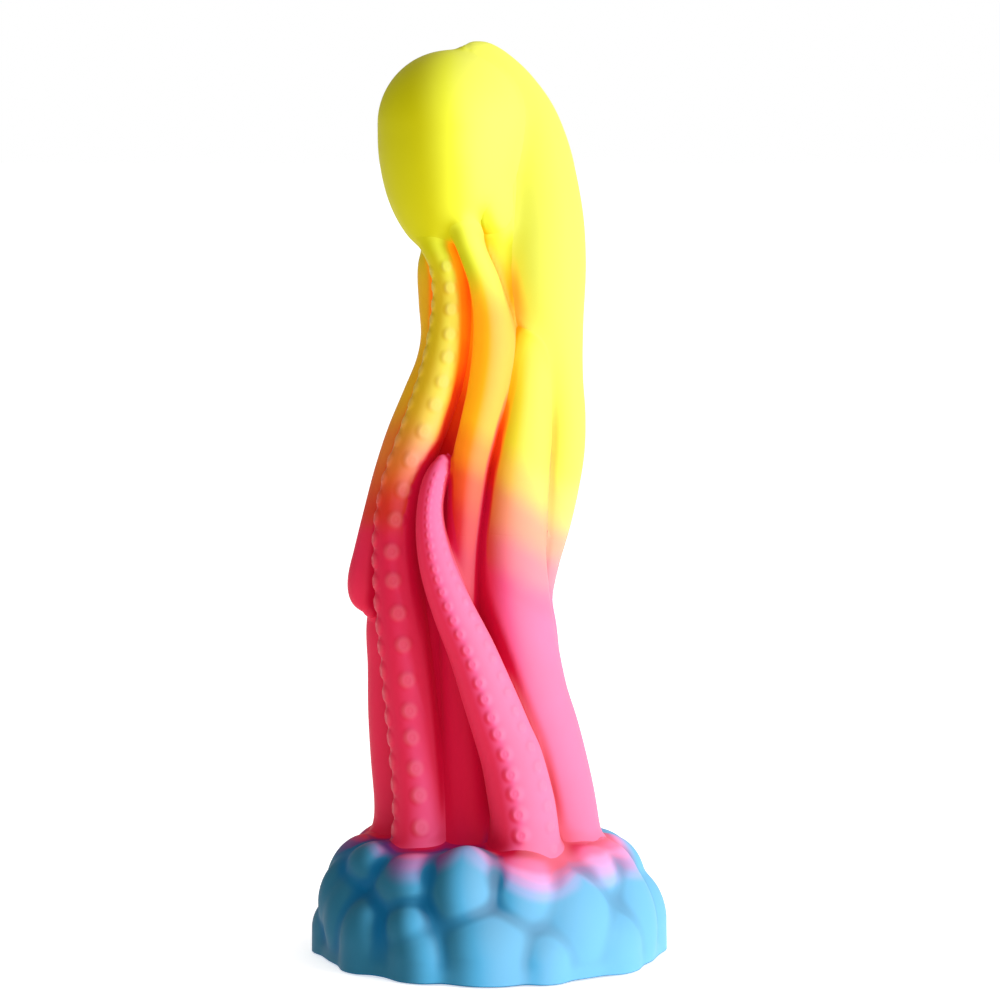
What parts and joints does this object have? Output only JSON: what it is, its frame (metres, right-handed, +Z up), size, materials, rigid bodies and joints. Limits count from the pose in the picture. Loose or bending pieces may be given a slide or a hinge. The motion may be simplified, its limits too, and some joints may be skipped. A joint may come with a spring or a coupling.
{
  "type": "octopus-form silicone adult toy",
  "caption": "Upright soft silicone octopus form: an egg-shaped mantle over a stem of twined, suckered arms on a flared pebbled suction base, in yellow, pink and blue.",
  "frame": {"origin": "centre of the flat underside of the foot", "axes": "+Z up along the stem, +X to the viewer's right when the long front arm faces the viewer, -Y towards the viewer"},
  "size_m": [0.0856, 0.0856, 0.2148],
  "materials": {
    "blue_silicone": "satin",
    "pink_silicone": "satin",
    "pink_to_yellow_silicone": "satin",
    "yellow_silicone": "satin"
  },
  "bodies": {
    "base": {"suction_foot": "blue_silicone", "rock_mound": "blue_silicone", "front_pebbles": "blue_silicone", "left_pebbles": "blue_silicone", "right_pebbles": "blue_silicone", "rear_pebbles": "blue_silicone", "front_arm_lower": "pink_silicone", "sucker_arm_lower": "pink_silicone", "slim_arm_lower": "pink_silicone", "broad_arm_lower": "pink_silicone", "crest_arm_lower": "pink_silicone", "rear_left_arm_lower": "pink_silicone", "rear_arm_lower": "pink_silicone", "core_lower": "pink_silicone"},
    "stem": {"front_arm_middle": "pink_silicone", "sucker_arm_middle": "pink_to_yellow_silicone", "slim_arm_middle": "pink_to_yellow_silicone", "broad_arm_middle": "pink_to_yellow_silicone", "crest_arm_middle": "pink_to_yellow_silicone", "left_arm_middle": "pink_to_yellow_silicone", "rear_left_arm_middle": "pink_to_yellow_silicone", "rear_arm_middle": "pink_to_yellow_silicone", "core_middle": "pink_to_yellow_silicone"},
    "head": {"mantle": "yellow_silicone", "siphon": "yellow_silicone", "sucker_arm_upper": "yellow_silicone", "slim_arm_upper": "yellow_silicone", "broad_arm_upper": "yellow_silicone", "crest_arm_upper": "yellow_silicone", "left_arm_upper": "yellow_silicone", "rear_left_arm_upper": "yellow_silicone", "rear_arm_upper": "yellow_silicone", "core_upper": "yellow_silicone"}
  },
  "joints": [
    {"name": "stem_bend", "type": "hinge", "parent": "base", "child": "stem", "pos_m": [-0.0048, 0, 0.056], "axis": [1, 0, 0], "range_deg": [-25, 25], "stiffness_Nm_per_rad": 1.5},
    {"name": "head_bend", "type": "hinge", "parent": "stem", "child": "head", "pos_m": [0.0026, 0, 0.143], "axis": [0, 1, 0], "range_deg": [-25, 25], "stiffness_Nm_per_rad": 0.9}
  ]
}
